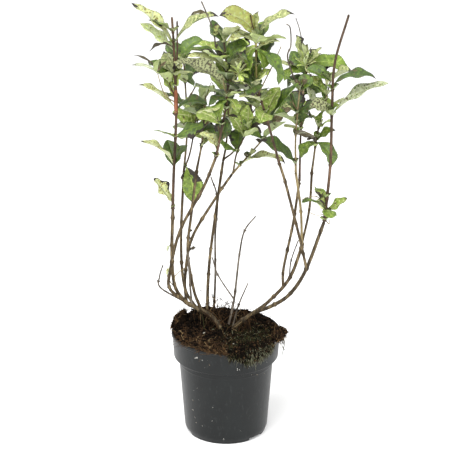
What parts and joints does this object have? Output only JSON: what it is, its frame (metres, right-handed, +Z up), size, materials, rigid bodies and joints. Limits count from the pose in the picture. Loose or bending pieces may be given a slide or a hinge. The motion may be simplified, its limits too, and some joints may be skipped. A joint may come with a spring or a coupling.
{
  "type": "potted weigela shrub",
  "caption": "Young potted weigela shrub with upright bare canes, leafy tops and a few dead twigs, in a round dark nursery pot of potting mix.",
  "frame": {"origin": "centre of the pot's flat underside", "axes": "+Z up the plant, +X to the right and +Y to the back as seen from the front"},
  "size_m": [0.3322, 0.284, 0.6235],
  "materials": {
    "pot": "satin",
    "mix": "matte",
    "moss": "matte",
    "bark": "matte",
    "deadwood": "matte",
    "leaf": "satin"
  },
  "bodies": {
    "root": {"pot": "pot", "potting_mix": "mix", "bark_over_lip": "mix", "bark_on_lip": "mix", "moss_over_lip": "moss", "left_limb": "bark", "right_limb": "bark", "cane_left": "bark", "cane_front_left": "bark", "cane_inner_left": "bark", "cane_back_left": "bark", "cane_middle_left": "bark", "cane_back": "bark", "cane_right": "bark", "cane_right_inner": "bark", "cane_right_near_fork": "bark", "cane_right_far_fork": "bark", "cane_back_right": "bark", "cane_front_right": "bark", "dead_cane_back": "deadwood", "dead_stub_left": "deadwood", "dead_twig_left": "deadwood", "dead_twig_middle": "deadwood", "dead_twig_inner": "deadwood", "dead_twig_low": "deadwood", "dead_twig_right": "deadwood", "foliage_left": "leaf", "foliage_front_left": "leaf", "foliage_back_left": "leaf", "foliage_back_left_shoot": "leaf", "foliage_inner_left": "leaf", "foliage_inner_left_shoot": "leaf", "foliage_middle_left": "leaf", "foliage_back": "leaf", "foliage_back_shoot": "leaf", "foliage_right_near": "leaf", "foliage_right_far": "leaf", "foliage_back_right": "leaf", "foliage_front_right": "leaf", "foliage_right": "leaf"}
  },
  "joints": []
}
